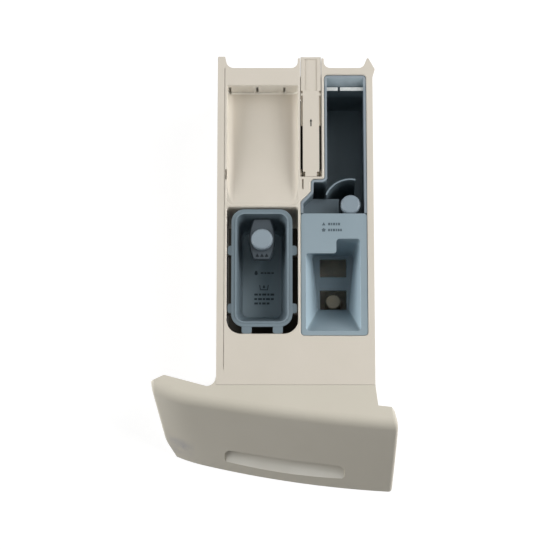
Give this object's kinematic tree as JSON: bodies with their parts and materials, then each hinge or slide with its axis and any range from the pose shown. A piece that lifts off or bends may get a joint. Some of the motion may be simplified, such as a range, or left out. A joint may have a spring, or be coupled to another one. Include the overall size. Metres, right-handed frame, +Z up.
{
  "type": "detergent dispenser drawer",
  "caption": "Pull-out washer dispenser drawer with a curved handle panel, powder compartment, lift-out liquid cup, siphon tray with pouring hopper, and a sprung release lever.",
  "frame": {"origin": "on the resting plane under the mid-plane of the body's front wall, on the body's centre plane", "axes": "+Y from the handle panel to the rear of the drawer, +X to the right seen from the front, +Z up"},
  "size_m": [0.22, 0.3903, 0.084],
  "materials": {
    "ivory_polypropylene": "satin moulded",
    "ivory_abs": "fine grained moulding",
    "blue_grey_polypropylene": "satin moulded",
    "pale_blue_cap": "satin moulded",
    "zinc_steel": "zinc plated"
  },
  "bodies": {
    "drawer": {"drawer_body": "ivory_polypropylene", "front_panel": "ivory_abs", "handle_backing": "ivory_polypropylene", "panel_screws": "zinc_steel", "detergent_cup": "blue_grey_polypropylene", "cup_siphon_cap": "pale_blue_cap", "dispenser_tray": "blue_grey_polypropylene", "hopper_cover": "blue_grey_polypropylene", "bleach_siphon_cap": "pale_blue_cap", "softener_siphon_cap": "pale_blue_cap"},
    "lever": {"release_lever": "ivory_polypropylene"}
  },
  "joints": [
    {"name": "lever_press", "type": "hinge", "parent": "drawer", "child": "lever", "pos_m": [0.0144, 0.1975, 0.076], "axis": [-1, 0, 0], "range_deg": [0, 5], "stiffness_Nm_per_rad": 0.5, "springref_deg": -5.73}
  ]
}
